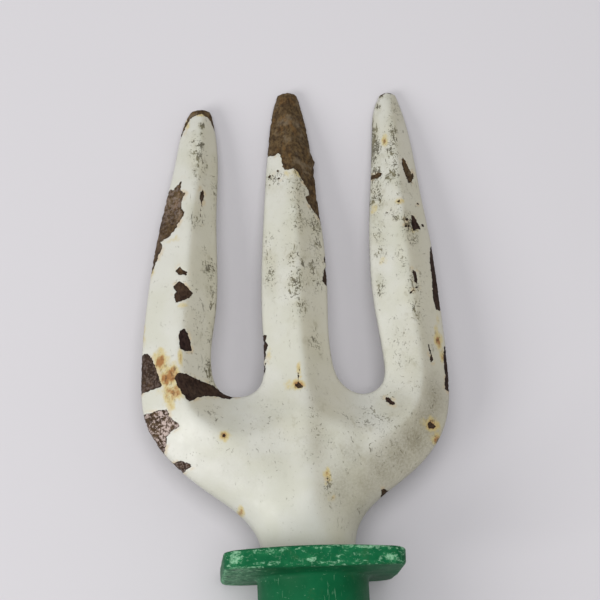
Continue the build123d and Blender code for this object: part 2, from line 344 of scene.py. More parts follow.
CHIPS = {
    "left_tip_rim": (
        (-33, 124), (-31, 129.5), (-29.6, 132.5), (-29.5, 137), (-20.5, 137), (-20.2, 126),
        (-21.9, 129.6), (-23.1, 132.4), (-25.6, 133.8), (-28.6, 132.6), (-30.6, 128.8),
    ),
    "left_flank": (
        (-31.5, 112.7), (-32.6, 110.4), (-32.6, 108.5), (-31.4, 107.3), (-32.5, 105), (-32.8, 102.6),
        (-31.8, 101), (-33.4, 98.4), (-34.8, 96), (-36.4, 94), (-38.8, 92.8), (-38.4, 91),
        (-39.8, 88), (-41.6, 83.2), (-43.5, 83), (-42.5, 88), (-40.6, 97), (-38.6, 103),
        (-36.6, 107.2), (-35.4, 109.7), (-34.8, 109), (-33.4, 110.5),
    ),
    "left_lens": ((-26.4, 109.2), (-25.9, 107), (-26.7, 103), (-27.4, 106)),
    "left_dot": ((-35.2, 83), (-34, 83.8), (-33.2, 82.8), (-32, 82.2), (-32.2, 81), (-34.6, 81.5)),
    "left_heart": (
        (-34.6, 79.4), (-33.2, 78.6), (-31.6, 77), (-30.6, 75.8), (-31.4, 74.5), (-33, 73.5),
        (-35.6, 72.9), (-36, 75.4), (-35.1, 76.2), (-36.2, 77.9),
    ),
    "left_oval": (
        (-34.7, 64.6), (-33.4, 65), (-32.4, 63.8), (-31.9, 62), (-31.5, 58.8), (-33.5, 58.4),
        (-34.8, 59.2), (-35.1, 61),
    ),
    "shoulder": (
        (-44, 59.4), (-42.6, 57.6), (-41.4, 54), (-40, 48.6), (-42.4, 48.2), (-47, 46.8), (-47, 57),
    ),
    "gullet": (
        (-36.6, 51), (-35.6, 52.1), (-33.4, 51.9), (-31, 51), (-27.6, 50), (-25.4, 49.4),
        (-24.9, 48.9), (-21.6, 47.6), (-18.4, 46.3), (-21.5, 45.2), (-25.2, 46), (-28.4, 45.6),
        (-30.2, 45), (-32.8, 43.4), (-34.2, 45.4), (-35.6, 47.6),
    ),
    "outer_bend": (
        (-46.5, 41.2), (-42, 41.7), (-38.8, 42.2), (-38.4, 40), (-35.4, 37), (-37.4, 36),
        (-39.1, 34.6), (-38.9, 33), (-39.8, 29.6), (-42.5, 30), (-46, 37),
    ),
    "lower_edge": ((-37.6, 27.2), (-35.4, 27.7), (-31.6, 26.1), (-33.1, 25.6), (-35, 24.2)),
    "middle_tip": (
        (-8, 120.6), (-4.2, 120.2), (-3.1, 121.2), (-2.6, 119), (-2.4, 116), (-1.8, 115),
        (-0.8, 114.6), (0.6, 115.2), (2, 114), (3, 112), (3.5, 110.6), (4.9, 109), (5, 107),
        (3.7, 106.3), (4.5, 104.5), (6.2, 102), (8, 100), (8.3, 98), (12, 98), (12, 144), (-8, 144),
    ),
    "middle_right_upper": ((8.3, 88.2), (8.4, 86.4), (10, 86), (10, 88.4)),
    "middle_right": ((9, 85.2), (8, 84), (7.5, 80.6), (8.1, 79.6), (10.5, 78), (10.5, 85.2)),
    "middle_left": (
        (-11.5, 64.8), (-9.5, 64.2), (-9.9, 62.6), (-9.4, 61), (-9.9, 59), (-10.3, 57), (-11.6, 56),
    ),
    "middle_root": ((-3, 48.3), (-1.6, 48.4), (-0.6, 47.2), (-2.4, 46.9)),
    "right_bar": (
        (22.6, 114.9), (25, 114.2), (26.4, 114.9), (27.3, 114.4), (26.9, 113.4), (25.4, 112.9),
        (22.6, 113.2),
    ),
    "right_streaks": (
        (33.6, 119.6), (34.7, 118), (35.6, 115.9), (36.4, 113.6), (36.2, 111.6), (35, 110.9),
        (34.2, 112.8), (33.6, 114.8), (33.3, 117),
    ),
    "right_side_streak": ((36.4, 115.4), (37, 113.8), (36.9, 112.6), (36.5, 113.6)),
    "right_tip": ((28.4, 144), (29.4, 140.8), (31, 141.6), (33.4, 141.2), (35, 144)),
    "right_black": (
        (34.5, 100.2), (35.6, 100.5), (36.4, 98.5), (37.6, 96), (35.9, 96.1), (34.8, 95.2),
        (34.4, 97.6),
    ),
    "right_small": ((33.2, 82.8), (34.3, 82.4), (34.7, 79.2), (34.1, 78.2), (33.5, 79.4)),
    "right_edge": (
        (40.1, 91.4), (39.5, 86), (39.6, 80), (39.4, 74.6), (40.2, 71.4), (43.5, 71), (43.5, 80),
        (42, 91.4),
    ),
    "right_root_edge": ((41.8, 60.5), (41.2, 56), (41.4, 51), (40.8, 47.4), (44.5, 46), (44.5, 61)),
    "right_mark": ((23.1, 45.1), (24.3, 44.8), (25.6, 43), (25.3, 42), (24.2, 42.7), (23.2, 44)),
    "right_rust": ((34.4, 37.1), (35.8, 37.5), (37.4, 36.5), (36.6, 35.6), (35, 35.9)),
    "neck_edge": ((20.6, 18.6), (23.6, 18.4), (24.4, 16), (21, 14.6)),
}

FAR_FROM_CHIPS = -6.0  # the distance from bare steel isn't followed beyond this

# round spots of bare steel: x, y, radius
SPOTS = (
    (-6, 113.6, 0.5), (-3.5, 115, 0.4), (-3.6, 112.5, 0.35), (31, 104.4, 0.45),
    (33, 98.6, 0.5), (33.4, 96.6, 0.4), (32.4, 96.4, 0.35), (-23.5, 33.5, 0.45), (4.6, 21, 0.4),
    (5.6, 15.8, 0.3), (27.6, 101.2, 0.4), (38.2, 97.6, 0.4), (37.4, 104.6, 0.35),
)

# thin cracks in the paint: a chain of points, and the width
CRACKS = (
    (((-27, 102.6), (-27.2, 100.4), (-26.6, 98)), 0.28),
    (((34.2, 78.6), (34.5, 77.6), (33.2, 76.4), (32, 75.4)), 0.42),
    (((36.4, 60.2), (37, 58)), 0.36),
    (((37, 57.4), (37.1, 55.2)), 0.7),
    (((-10.2, 56), (-10.6, 53)), 0.3),
    (((-1.2, 53.6), (-1.7, 51), (-2, 49)), 0.22),
    (((41, 93), (40.6, 90)), 0.35),
)

# rust washed out over the paint, as soft spots: x, y, reach along x and y, strength
STAINS = (
    (-40.2, 55.6, 2, 3.6, 1.05), (-38.2, 51, 2.4, 3, 1.1), (-36.2, 52.6, 1.8, 2.4, 0.9),
    (-37.3, 46.2, 3.3, 3.6, 0.85), (-34.8, 54.8, 0.8, 5, 0.7), (-37.4, 42.8, 1.6, 1.6, 0.5),
    (-2, 48, 2.2, 1.5, 1.05), (-1.6, 52.4, 0.9, 2.6, 0.8), (-4.4, 48.4, 2.6, 1.8, 0.35),
    (35.8, 36.8, 2.6, 1.9, 1.15), (37.6, 32.6, 2.2, 2.6, 0.8), (39.8, 62.6, 1.4, 3.2, 0.95),
    (41.2, 57.4, 1.2, 2.4, 0.85), (4.6, 21.4, 1.3, 2.4, 0.68), (5.4, 15.6, 1.6, 1.4, 0.4),
    (-23.5, 33.5, 1.9, 1.6, 0.8), (-18.9, 11.6, 1, 3, 0.8), (28.8, 124.6, 1, 2.6, 0.75),
    (24, 104, 1.2, 2.4, 0.45), (-42.4, 84, 1.4, 3.4, 0.6), (-40.4, 90.6, 1.2, 2.4, 0.7),
    (-29.6, 130.8, 0.9, 2, 0.75), (-25.8, 133.4, 2.6, 0.6, 0.6), (-36, 93, 3, 1.4, 0.35),
    (-33.6, 71.8, 1.4, 0.9, 0.7), (0.5, 113.4, 5.5, 1.6, 0.4), (34.6, 95.6, 2.2, 1.6, 0.6),
    (41, 68, 1.2, 4, 0.35), (-9.2, 58, 0.8, 3, 0.5), (-44.6, 74, 0.9, 14, 0.45),
    (31.2, 104.4, 1.3, 1, 0.8), (25.4, 86, 1.4, 2, 0.3),
)


def segment_distance(x, y, start, end):
    """Distance to the straight stretch from start to end."""
    along_x, along_y = end[0] - start[0], end[1] - start[1]
    from_x, from_y = x - start[0], y - start[1]
    share = (from_x * along_x + from_y * along_y) / (along_x * along_x + along_y * along_y)
    share = np.clip(share, 0.0, 1.0)
    return np.hypot(from_x - share * along_x, from_y - share * along_y)


def polygon_depth(points, x, y):
    """Distance in from the edge of a polygon, negative outside it."""
    corners = np.array(points, float)
    nearest = np.full(x.shape, np.inf)
    inside = np.zeros(x.shape, bool)
    for start, end in zip(corners, np.roll(corners, -1, axis=0)):
        nearest = np.minimum(nearest, segment_distance(x, y, start, end))
        crosses = (start[1] > y) != (end[1] > y)
        with np.errstate(divide="ignore", invalid="ignore"):
            crossing = (y - start[1]) * (end[0] - start[0]) / (end[1] - start[1]) + start[0]
        inside ^= crosses & (x < crossing)
    return np.where(inside, nearest, -nearest)


def crack_depth(chain, width, x, y):
    """Half the width less the distance from a chain of points."""
    pieces = [segment_distance(x, y, start, end) for start, end in zip(chain, chain[1:])]
    return width / 2 - np.minimum.reduce(pieces)


def bare_depth(x, y):
    """How far inside bare steel a point lies, in millimetres; negative under paint."""
    depth = np.full(x.shape, FAR_FROM_CHIPS)
    for chip in CHIPS.values():
        depth = np.maximum(depth, polygon_depth(chip, x, y))
    for spot_x, spot_y, radius in SPOTS:
        depth = np.maximum(depth, radius - np.hypot(x - spot_x, y - spot_y))
    for chain, width in CRACKS:
        depth = np.maximum(depth, crack_depth(chain, width, x, y))
    return depth


# ---- smooth seeded noise for the mesh

NOISE_TABLE = 256


def value_noise(x, y, size, seed):
    """Smooth noise from -1 to 1 whose lumps are about size millimetres across."""
    table = np.random.default_rng(seed).uniform(-1.0, 1.0, (NOISE_TABLE, NOISE_TABLE))
    u, v = x / size + 500.0, y / size + 500.0
    i, j = np.floor(u).astype(int), np.floor(v).astype(int)
    right, up = smooth_step(u - i, 0.0, 1.0), smooth_step(v - j, 0.0, 1.0)

    def corner(across, along):
        return table[(i + across) % NOISE_TABLE, (j + along) % NOISE_TABLE]

    low = corner(0, 0) * (1 - right) + corner(1, 0) * right
    high = corner(0, 1) * (1 - right) + corner(1, 1) * right
    return low * (1 - up) + high * up


def rough_noise(x, y, size, seed, octaves=3):
    """Value noise with finer and weaker lumps added to it."""
    total = np.zeros(x.shape)
    for octave in range(octaves):
        total += value_noise(x, y, size / 2 ** octave, seed + octave) / 2 ** octave
    return total


PAINT_THICK = 0.22
RAGGED = 0.3  # how far the chips' edges wander from their outlines
CHIP_EDGE = (-0.15, 0.35)
PIT_DEPTH = 0.07
FINE_PIT_DEPTH = 0.05
EATEN_PITS = 2.2  # how much deeper the pits are near the middle tip, where rust is worst
DENT_DEPTH = 0.16
SMALL_DENT_DEPTH = 0.06
SETTLED = 0.2  # the worn side is lowered by about the dents' height


def worn_height(x, y):
    """The upper surface with its wear: slight dents, chips sunk in, and pitted bare steel."""
    bare = bare_depth(x, y) + RAGGED * rough_noise(x, y, 1.6, 31)
    sunk = smooth_step(bare, *CHIP_EDGE)
    pits = PIT_DEPTH * rough_noise(x, y, 2.2, 11) + FINE_PIT_DEPTH * rough_noise(x, y, 0.9, 17, 2)
    eaten = smooth_step(y, 96.0, 122.0) * smooth_step(x, -9.0, -4.0) * (1.0 - smooth_step(x, 9, 12))
    pits = pits * (1.0 + EATEN_PITS * eaten)
    dents = DENT_DEPTH * value_noise(x, y, 15.0, 3) + SMALL_DENT_DEPTH * value_noise(x, y, 5.0, 5)
    return surface_height(x, y) + dents - SETTLED - sunk * (PAINT_THICK - pits)


# ---- turning points into Blender meshes

def to_frame(points):
    return (np.asarray(points, float) * MM + ORIGIN).tolist()


def add_object(name, data):
    obj = bpy.data.objects.new(name, data)
    bpy.context.scene.collection.objects.link(obj)
    return obj


def make_object(name, points, faces, **looks):
    """A smoothly shaded mesh, with values at its points for its material to read."""
    mesh = bpy.data.meshes.new(name)
    mesh.from_pydata(to_frame(points), [], [tuple(int(i) for i in face) for face in faces])
    mesh.validate()
    mesh.update()
    mesh.polygons.foreach_set("use_smooth", [True] * len(mesh.polygons))
    for look, values in looks.items():
        layer = mesh.attributes.new(look, "FLOAT", "POINT")
        layer.data.foreach_set("value", np.asarray(values, np.float32))
    return add_object(name, mesh)


def strip(first, second):
    """Quads between two closed rings with the same number of points."""
    return np.stack([first, second, np.roll(second, -1), np.roll(first, -1)], axis=1)


# lumps of rust that stand out of the sheet's edges: x, y, reach along x and y, height
EDGE_LUMPS = ((7.2, 119.0, 1.9, 1.5, 1.0), (8.4, 116.2, 1.6, 1.3, 0.5), (8.6, 112.4, 1.6, 1.0, 0.3))
EDGE_EATEN = 0.22  # how deep rust has eaten into the bare edges


def edge_swell(x, y):
    """How far rust lifts the edges out, less how far it has eaten into the bare ones."""
    bare = smooth_step(bare_depth(x, y), -0.4, 0.4)
    eaten = EDGE_EATEN * np.abs(rough_noise(x, y, 1.3, 71)) * bare
    return gathered(EDGE_LUMPS, x, y) - eaten


def edge_steps():
    """Rings round the sheet's edge: how far out, how far down, and 0 above to 1 below."""
    turns = np.radians([30.0, 60.0, 90.0])
    upper = [(EDGE_ROUND * math.sin(a), EDGE_ROUND * (1 - math.cos(a)), 0.0) for a in turns]
    lower = [(EDGE_ROUND * math.sin(a), EDGE_ROUND * (math.cos(a) - 1), 1.0) for a in turns[::-1]]
    return upper + [(EDGE_ROUND, EDGE_ROUND, 0.5)] + lower


def head_mesh():
    """The pressing: a fine upper side, a rounded edge all round, and a coarser under side."""
    top, top_quads, loop = clipped_grid(FINE_STEP, EDGE_ROUND)
    points = [np.column_stack([top, worn_height(*top.T)])]
    total = len(top)
    faces = [top_quads]
    edge_place = top[loop]
    outward = -border_gradient(edge_place)
    swell = edge_swell(*(edge_place + EDGE_ROUND * outward).T)[:, None]
    ring = loop
    for out, down, share in edge_steps():
        place = edge_place + outward * (out + swell * out / EDGE_ROUND)
        z = worn_height(*place.T) * (1 - share) + under_height(*place.T) * share - down
        points.append(np.column_stack([place, z]))
        following = np.arange(total, total + len(loop))
        total += len(loop)
        faces.append(strip(ring, following))
        ring = following
    under, under_quads, under_loop = clipped_grid(COARSE_STEP, EDGE_ROUND + 0.6)
    points.append(np.column_stack([under, under_height(*under.T)]))
    faces.append(under_quads[:, ::-1] + total)
    sewn = zipper(ring, edge_place, under_loop + total, under[under_loop])
    return np.vstack(points), [face for block in faces for face in block.tolist()] + sewn


# ---- materials

def srgb(red, green, blue):
    """A colour as it looks on a screen, 0 to 255, turned into Blender's linear colour."""
    parts = [value / 255 for value in (red, green, blue)]
    linear = [part / 12.92 if part < 0.04 else ((part + 0.055) / 1.055) ** 2.4 for part in parts]
    return (*linear, 1.0)


class Shading:
    """A material, with short calls for the nodes that these materials are made of."""

    def __init__(self, name):
        self.material = bpy.data.materials.new(name)
        self.material.use_nodes = True
        self.tree = self.material.node_tree
        self.shader = self.tree.nodes["Principled BSDF"]
        self.place = self.node("ShaderNodeTexCoord", "Object")

    def node(self, kind, output, inputs=(), **settings):
        """Add a node, fill its inputs by name or number, and give back one output."""
        made = self.tree.nodes.new(kind)
        for name, value in settings.items():
            setattr(made, name, value)
        for name, value in dict(inputs).items():
            self.put(made.inputs[name], value)
        return made.outputs[output]

    def put(self, socket, value):
        """Link an output to a socket, or set a plain value on it."""
        if isinstance(value, bpy.types.NodeSocket):
            self.tree.links.new(value, socket)
        else:
            socket.default_value = value

    def finish(self, name, value):
        self.put(self.shader.inputs[name], value)

    def attribute(self, name):
        return self.node("ShaderNodeAttribute", "Fac", attribute_name=name)

    def calc(self, operation, *values):
        return self.node("ShaderNodeMath", 0, enumerate(values), operation=operation)

    def add(self, *values):
        return functools.reduce(lambda total, value: self.calc("ADD", total, value), values)

    def times(self, *values):
        return functools.reduce(lambda total, value: self.calc("MULTIPLY", total, value), values)

    def ramp(self, value, low, high, start=0.0, end=1.0):
        """start at low, end at high, and smooth between them."""
        inputs = {"Value": value, "From Min": low, "From Max": high, "To Min": start, "To Max": end}
        return self.node("ShaderNodeMapRange", "Result", inputs, interpolation_type="SMOOTHSTEP")

    def mix(self, share, first, second):
        return self.node("ShaderNodeMix", 2, {0: share, 6: first, 7: second}, data_type="RGBA")

    def tint(self, colour, red, green, blue, *shares):
        """The colour pulled towards another one, by the product of the shares."""
        return self.mix(self.times(*shares), colour, srgb(red, green, blue))

    def noise(self, size, detail=2.0, roughness=0.5, stretch=1.0, warp=0.0, shift=0.0, turn=0.0):
        """Noise in lumps of size millimetres, stretched along the turned y axis."""
        scale = 1.0 / (size * MM)
        spread = self.node("ShaderNodeMapping", "Vector", {
            "Vector": self.place,
            "Location": (shift, shift * 0.7, shift * 1.3),
            "Rotation": (0.0, 0.0, math.radians(turn)),
            "Scale": (scale, scale / stretch, scale),
        })
        inputs = {"Vector": spread, "Scale": 1.0, "Detail": detail, "Roughness": roughness}
        return self.node("ShaderNodeTexNoise", "Fac", inputs | {"Distortion": warp})

    def patches(self, low, high, *lumps, **more):
        """Noise turned into soft patches: 0 where it is below low, 1 where it is above high."""
        return self.ramp(self.noise(*lumps, **more), low, high)

    def bump(self, height, depth):
        """Raise the surface by height times depth millimetres, in the shading only."""
        inputs = {"Distance": depth * MM, "Height": height}
        self.finish("Normal", self.node("ShaderNodeBump", "Normal", inputs))


def paint_colour(look, grime, bare):
    """Old white paint: creamy where it is worn thin, specked with dirt, stained by rust, and darkened
    with painted shade on flanks away from the light and over parts of the palm.
    """
    clean = look.mix(look.patches(0.38, 0.62, 14.0, 3.0), srgb(202, 202, 194), srgb(197, 197, 185))
    cream = look.patches(0.4, 0.6, 6.0, 3.0, shift=7.0)
    cream = look.mix(cream, srgb(182, 179, 160), srgb(174, 173, 154))
    patches = look.ramp(look.noise(9.0, 4.0, 0.55, shift=3.0), 0.36, 0.6, 0.35, 1.25)
    worn = look.calc("MINIMUM", look.times(patches, grime), 1.0)
    colour = look.mix(look.times(worn, 0.65), clean, cream)
    # painted shade, with a little yellow dirt: flanks that fall away from the light are darkened
    colour = look.tint(colour, 188, 179, 152, look.attribute("lee"), 0.4)
    blotch = look.patches(0.54, 0.7, 2.2, 5.0, 0.62, stretch=1.5, shift=11.0)
    colour = look.tint(colour, 142, 136, 112, blotch, worn, 0.55)
    # grey soil and painted shade: darker patches over the palm's right slopes, its lower left and the
    # neck's start
    soil_and_shade_grain = look.ramp(look.noise(0.7, 5.0, 0.7, shift=37.0), 0.34, 0.7, 0.7, 1.25)
    colour = look.tint(colour, 128, 121, 100, soil_and_shade_grain, look.attribute("film"), 0.5)
    return stained(look, colour, bare)


def stained(look, colour, bare):
    """Yellow and orange rust stains, and the warm line along the broken edges of the paint."""
    stain = look.attribute("stain")
    uneven = look.add(look.noise(2.6, 5.0, 0.62, stretch=1.4, shift=5.0), -0.5)
    patchy = look.add(stain, look.times(uneven, look.ramp(stain, 0.0, 0.3), 2.0))
    colour = look.tint(colour, 194, 176, 114, look.ramp(patchy, 0.12, 0.7, 0.0, 0.8))
    colour = look.tint(colour, 150, 98, 48, look.ramp(patchy, 0.6, 1.0, 0.0, 0.9))
    crust = look.patches(0.52, 0.62, 1.0, 5.0, 0.65, stretch=1.4, shift=21.0)
    colour = look.tint(colour, 92, 62, 34, crust, look.ramp(stain, 0.35, 0.9), 0.75)
    near = look.ramp(bare, -1.3, -0.1)
    broken = look.patches(0.5, 0.64, 3.5, 3.0, shift=9.0)
    return look.tint(colour, 190, 160, 110, near, broken, 0.45)


def bare_colour(look):
    """Rusted steel, from nearly black to tan, with grey and pinkish speckles in places."""
    tone = look.attribute("tone")
    grain = look.patches(0.34, 0.66, 0.9, 6.0, 0.68, stretch=1.6, shift=2.0)
    dark = look.mix(tone, srgb(32, 20, 19), srgb(58, 44, 29))
    light = look.mix(tone, srgb(56, 41, 37), srgb(100, 82, 56))
    colour = look.mix(grain, dark, light)
    pale = look.patches(0.5, 0.68, 4.2, 5.0, 0.6, shift=14.0)
    colour = look.tint(colour, 134, 120, 100, pale, tone, 0.5)
    streak = look.patches(0.52, 0.66, 1.8, 5.0, 0.64, stretch=2.4, shift=4.0)
    colour = look.tint(colour, 112, 82, 46, streak, tone, 0.45)
    shadow = look.patches(0.52, 0.64, 3.0, 5.0, 0.62, shift=8.0)
    colour = look.tint(colour, 38, 27, 21, shadow, 0.5)
    drift = look.times(look.add(look.noise(4.0, 2.0), -0.5), 0.35)
    speckle = look.add(look.noise(0.9, 4.0, 0.75, shift=6.0), drift)
    speckle = look.ramp(speckle, 0.47, 0.59)
    return look.tint(colour, 184, 167, 160, speckle, look.attribute("mottle"))


def speck_mask(look, grime):
    """Small dark marks, mostly along the tines, and more of them where the grime is."""
    clusters = look.ramp(look.noise(5.0, 3.0, 0.6, shift=23.0), 0.35, 0.65, -0.045, 0.04)
    dense = look.add(look.times(grime, 0.14), clusters)
    pepper = look.add(look.noise(0.7, 3.0, 0.6, stretch=1.5, warp=1.0, shift=13.0, turn=-12.0), dense)
    flecks = look.ramp(pepper, 0.69, 0.75)
    scratch = look.add(look.noise(1.2, 4.0, 0.6, stretch=3.0, warp=0.8, shift=17.0, turn=9.0), dense)
    cross = look.add(look.noise(1.1, 4.0, 0.6, stretch=0.45, warp=0.8, shift=27.0, turn=20.0), dense)
    lines = look.calc("MAXIMUM", look.ramp(scratch, 0.71, 0.755), look.ramp(cross, 0.735, 0.775))
    return look.calc("MAXIMUM", flecks, lines)


def head_material():
    """White paint with its wear and painted shade, and rusty steel wherever the paint has chipped off,
    with a painted shadow just inside the chips' edges.
    """
    look = Shading("chipped_paint")
    grime = look.attribute("grime")
    ragged = look.add(look.noise(1.1, 4.0, 0.6), -0.5)
    ragged = look.add(look.attribute("bare"), look.times(ragged, 1.2))
    chipped = look.ramp(ragged, -0.06, 0.06)
    paint = paint_colour(look, grime, ragged)
    specks = speck_mask(look, grime)
    dirt = look.mix(look.patches(0.4, 0.6, 2.5, 3.0, shift=29.0), srgb(70, 64, 46), srgb(98, 92, 62))
    paint = look.mix(look.times(specks, look.ramp(grime, 0.1, 0.9, 0.4, 0.85)), paint, dirt)
    # painted shadow: the bare steel is darkened just inside each chip's edge, where the paint's step
    # would shade it
    steel = look.tint(bare_colour(look), 26, 18, 16, look.ramp(ragged, 0.05, 0.45, 1.0, 0.0), 0.5)
    look.finish("Base Color", look.mix(chipped, paint, steel))
    gloss = look.ramp(look.noise(4.0, 4.0, shift=19.0), 0.3, 0.7, 0.36, 0.52)
    gloss = look.add(gloss, look.times(grime, 0.12))
    look.finish("Roughness", look.add(look.times(chipped, 0.28), gloss))
    look.finish("Specular IOR Level", look.ramp(chipped, 0.0, 1.0, 0.5, 0.15))
    peel = look.add(look.times(look.noise(1.5, 3.0), 0.3), look.times(look.noise(0.35, 2.0), 0.08))
    skin = look.add(0.9, peel, look.times(specks, -0.35))
    covered = look.add(1.0, look.times(chipped, -1.0))
    pitted = look.times(look.noise(0.8, 6.0, 0.7, shift=2.0), 1.3)
    look.bump(look.add(look.times(covered, skin), look.times(chipped, pitted)), 0.14)
    return look.material


def plastic_material(name, wear_name=None):
    """Moulded green plastic, scratched, and scuffed pale where it has been knocked."""
    look = Shading(name)
    wear = look.attribute(wear_name) if wear_name else 0.12
    colour = look.mix(look.patches(0.35, 0.65, 9.0, 3.0), srgb(4, 80, 46), srgb(6, 87, 52))
    faded = look.times(wear, look.patches(0.35, 0.65, 3.0, 4.0, 0.6, shift=5.0))
    colour = look.tint(colour, 40, 122, 76, faded, 0.6)
    broad = look.add(look.noise(1.5, 6.0, 0.72, stretch=0.6, warp=0.3, shift=3.0), look.times(wear, 0.17))
    broken = look.ramp(look.noise(0.5, 3.0, 0.6, shift=6.0), 0.3, 0.55, 0.35, 1.0)
    scuffs = look.times(look.ramp(broad, 0.62, 0.76), broken)
    fine = look.noise(0.9, 3.0, 0.6, stretch=7.0, warp=0.3, shift=8.0, turn=38.0)
    fine = look.add(fine, look.times(wear, 0.05))
    scratches = look.times(look.ramp(fine, 0.68, 0.72), 0.3)
    across = look.noise(0.8, 3.0, 0.6, stretch=9.0, warp=0.2, shift=12.0, turn=-52.0)
    scratches = look.calc("MAXIMUM", scratches, look.times(look.ramp(across, 0.67, 0.71), 0.28))
    marks = look.calc("MAXIMUM", scuffs, scratches)
    colour = look.tint(colour, 142, 190, 156, marks, 0.8)
    soil = look.patches(0.56, 0.72, 4.0, 5.0, 0.6, shift=15.0)
    look.finish("Base Color", look.tint(colour, 50, 84, 48, soil, 0.3))
    dull = look.ramp(look.noise(6.0, 3.0), 0.3, 0.7, 0.5, 0.62)
    look.finish("Roughness", look.add(dull, look.times(marks, 0.3)))
    look.finish("Specular IOR Level", 0.16)
    grain = look.times(look.noise(0.5, 3.0), 0.25)
    waves = look.times(look.noise(5.0, 2.0), 0.6)
    look.bump(look.add(grain, look.times(marks, 0.5), waves), 0.08)
    return look.material


def steel_material():
    """Dull zinc with a little rust creeping over it."""
    look = Shading("pin_steel")
    rust = look.patches(0.48, 0.62, 1.2, 5.0, 0.65)
    zinc = look.patches(0.4, 0.6, 0.6, 3.0, stretch=4.0)
    zinc = look.mix(zinc, srgb(150, 150, 148), srgb(176, 176, 172))
    look.finish("Base Color", look.tint(zinc, 104, 66, 40, rust, 0.8))
    look.finish("Metallic", look.ramp(rust, 0.2, 0.8, 0.9, 0.1))
    look.finish("Roughness", look.ramp(rust, 0.0, 1.0, 0.38, 0.8))
    look.bump(look.noise(0.3, 4.0, 0.6), 0.05)
    return look.material


# ---- the head

# where dirt and small scratches gather, in the form of STAINS
GRIMY = (
    (-27, 120, 3.2, 11, 1), (-22.6, 108, 1.8, 14, 0.8), (-29, 100, 2.8, 5, 0.7),
    (-25, 70, 3, 24, 0.65), (-26, 52, 2.4, 7, 1.1), (-25, 84, 3, 6, 0.9),
    (1, 104, 3.6, 13, 0.9), (-0.5, 80, 3.6, 14, 1.1), (6.4, 96, 2.6, 10, 1.1),
    (4, 84, 5, 10, 0.9), (4, 62, 4.4, 10, 0.7), (-7.6, 84, 2.2, 9, 1),
    (-5, 112, 2.6, 4, 0.9), (25.6, 124, 2, 13, 1.5), (31.4, 127, 1.6, 8, 1.4),
    (28, 137, 0.8, 1.4, 1.5), (29.4, 140.6, 0.7, 0.7, 1.6), (25.4, 108, 2.4, 6, 1.1),
    (30.6, 118, 2.6, 14, 1.1), (33, 136, 2.6, 6, 0.8), (24.8, 94, 2.2, 10, 0.95),
    (33.4, 96, 3.4, 8, 1.1), (30, 104, 4, 6, 0.6), (24.2, 80, 1.7, 10, 0.85),
    (33, 72, 2.8, 10, 0.9), (30.6, 86, 2.4, 7, 0.55), (25, 45, 3, 2.4, 0.8),
    (36.4, 44, 3, 7, 0.6), (38, 34, 3.4, 4, 0.6), (14.6, 27, 3, 3, 0.5),
    (4.6, 19, 2.4, 5, 0.6), (0, 36, 26, 12, 0.4), (12, 14, 6, 14, 0.4),
    (-26, 40, 3, 5, 0.5), (20, 34, 18, 12, 0.55), (31, 60, 6, 16, 0.5),
    (-30, 66, 6, 22, 0.45), (34, 92, 5, 40, 0.4), (5, 90, 4, 40, 0.3),
    (-25.8, 129.4, 0.9, 1.2, 2.3), (-25.9, 126.8, 0.6, 0.9, 1.8), (-26, 123, 1, 1, 2.1),
    (-27.2, 118.8, 1.5, 2.2, 1.3), (-25.2, 116, 1.2, 2, 1.2), (25.2, 137, 0.9, 1, 2.2),
    (26.9, 139.8, 0.7, 0.7, 2), (24.8, 128.6, 0.9, 2.6, 1.7), (24.4, 121.6, 0.8, 2.2, 1.7),
    (23.9, 105.4, 1.1, 1.2, 1.8), (28.8, 112.8, 1.1, 1.4, 1.5), (29.9, 99, 1.2, 1, 1.5),
)

# where a thin grey layer of old soil dulls the paint, and where painted shade darkens the palm's slopes
# and the neck beside the flange, in the same form
SOIL_FILM_AND_SHADE = (
    (3, 32, 6, 9, 0.45), (14, 38, 9, 7, 0.15), (11.5, 27, 5, 7, 0.75),
    (27, 42, 6, 6, 0.5), (8.5, 19, 5.5, 8, 0.95), (13, 15, 6, 7, 0.75),
    (16.5, 20, 6.5, 6.5, 0.95), (21, 23.5, 6.5, 6.5, 1.2), (26, 27.5, 6.5, 6.5, 1.35),
    (30.5, 32, 6.5, 7, 1.45), (34.5, 37, 6, 7, 1.4), (37.5, 44, 5.5, 8, 1.2),
    (34, 56, 5, 10, 0.4), (2, 2, 12, 3, 0.3), (-20, 22, 12, 9, 0.22),
)

# how light and brown the bare steel is, and how speckled: x, y, reach, tone, speckle
STEEL_TONES = (
    (1, 130, 16, 1, 0), (5, 104, 8, 0.75, 0), (-26, 134, 6, 1, 0),
    (-26.4, 106, 2.6, 0, 0), (-34, 106, 7, 0.85, 0.25), (-38, 96, 6, 0.7, 0.1),
    (-41, 86, 4, 0.5, 0), (-33, 77, 4, 0.25, 0), (-33.5, 82.4, 1.6, 0.45, 0),
    (-33.5, 61, 3.5, 0, 0), (-44, 53, 4, 0.2, 0.15), (-31, 48, 6, 0.12, 0),
    (-41, 37, 5, 0.55, 1), (-34.5, 26, 3.5, 0.25, 0.3), (35.5, 97.5, 3, 0, 0),
    (41.5, 80, 6, 0.1, 0), (42.5, 53, 6, 0.05, 0), (26, 110, 9, 0.8, 0),
    (35, 114, 4, 0.7, 0), (9, 82, 5, 0.2, 0), (-10, 60, 4, 0.1, 0),
    (35.5, 36, 3, 0.3, 0),
)


def gathered(spots, x, y):
    """The strongest of many soft round spots at each point."""
    total = np.zeros(x.shape)
    for spot_x, spot_y, reach_x, reach_y, strength in spots:
        far = ((x - spot_x) / reach_x) ** 2 + ((y - spot_y) / reach_y) ** 2
        total = np.maximum(total, strength * np.exp(-far))
    return total


